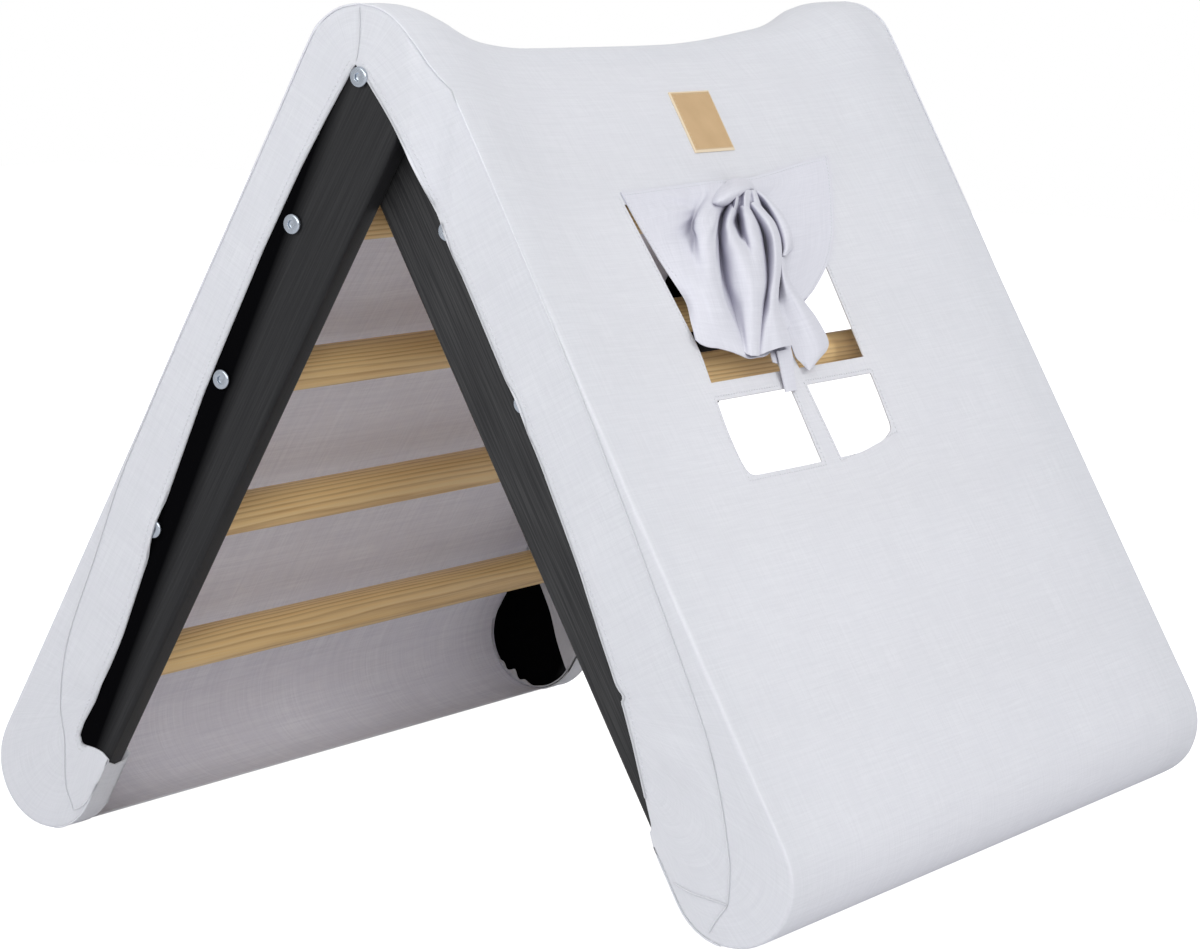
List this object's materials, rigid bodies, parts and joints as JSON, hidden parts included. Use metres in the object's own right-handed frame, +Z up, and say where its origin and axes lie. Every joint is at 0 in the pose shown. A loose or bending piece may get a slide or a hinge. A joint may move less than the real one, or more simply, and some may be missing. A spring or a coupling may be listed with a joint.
{
  "type": "folding climbing frame with cloth cover",
  "caption": "Two hinged wooden ladder frames standing as a triangle, under a fitted cloth tent cover with a cross-barred window and a tied-up curtain.",
  "frame": {"origin": "centre of the base on the ground, below the ridge", "axes": "+Z up, +Y along the ridge from the near end to the far end, -X to the outer frame's foot, +X to the inner frame's foot and the window"},
  "size_m": [0.6634, 0.6482, 0.5992],
  "materials": {
    "black_paint": "satin black stain over straight-grained board",
    "pine": "clear lacquered turned wood",
    "zinc": "bright zinc plated",
    "cover_cloth": "matt off-white woven cotton",
    "curtain_cloth": "matt off-white woven cotton",
    "patch_leather": "matt tan imitation leather"
  },
  "bodies": {
    "outer_frame": {"outer_leg_near": "black_paint", "outer_leg_far": "black_paint", "outer_rung_1": "pine", "outer_rung_2": "pine", "outer_rung_3": "pine", "outer_rung_4": "pine", "outer_screw_near_1": "zinc", "outer_screw_near_2": "zinc", "outer_screw_near_3": "zinc", "outer_screw_near_4": "zinc", "outer_screw_far_1": "zinc", "outer_screw_far_2": "zinc", "outer_screw_far_3": "zinc", "outer_screw_far_4": "zinc", "ridge_rung": "pine", "pivot_screw_near": "zinc", "pivot_screw_far": "zinc", "pivot_washer_near": "zinc", "pivot_washer_far": "zinc", "cover_panel_left": "cover_cloth", "cover_band_near_left": "cover_cloth", "cover_band_far_left": "cover_cloth", "foot_sleeve_near_left": "cover_cloth", "foot_sleeve_far_left": "cover_cloth"},
    "inner_frame": {"inner_leg_near": "black_paint", "inner_leg_far": "black_paint", "inner_rung_1": "pine", "inner_rung_2": "pine", "inner_rung_3": "pine", "inner_rung_4": "pine", "inner_screw_near_1": "zinc", "inner_screw_near_2": "zinc", "inner_screw_near_3": "zinc", "inner_screw_near_4": "zinc", "inner_screw_far_1": "zinc", "inner_screw_far_2": "zinc", "inner_screw_far_3": "zinc", "inner_screw_far_4": "zinc", "cover_panel_right": "cover_cloth", "cover_band_near_right": "cover_cloth", "cover_band_far_right": "cover_cloth", "foot_sleeve_near_right": "cover_cloth", "foot_sleeve_far_right": "cover_cloth", "blank_patch": "patch_leather"},
    "curtain": {"window_curtain": "curtain_cloth", "curtain_tie_knot": "curtain_cloth", "curtain_tie_loop_left": "curtain_cloth", "curtain_tie_loop_right": "curtain_cloth", "curtain_tie_tail_centre": "curtain_cloth", "curtain_tie_tail_right": "curtain_cloth", "curtain_tie_ribbon": "curtain_cloth"}
  },
  "joints": [
    {"name": "fold", "type": "hinge", "parent": "outer_frame", "child": "inner_frame", "pos_m": [0, 0, 0.55071], "axis": [0, 1, 0], "range_deg": [0, 26.5]},
    {"name": "curtain_lift", "type": "hinge", "parent": "inner_frame", "child": "curtain", "pos_m": [0.07503, 0.023, 0.47798], "axis": [-0.0025, -0.9985, -0.0548], "range_deg": [0, 60]}
  ]
}
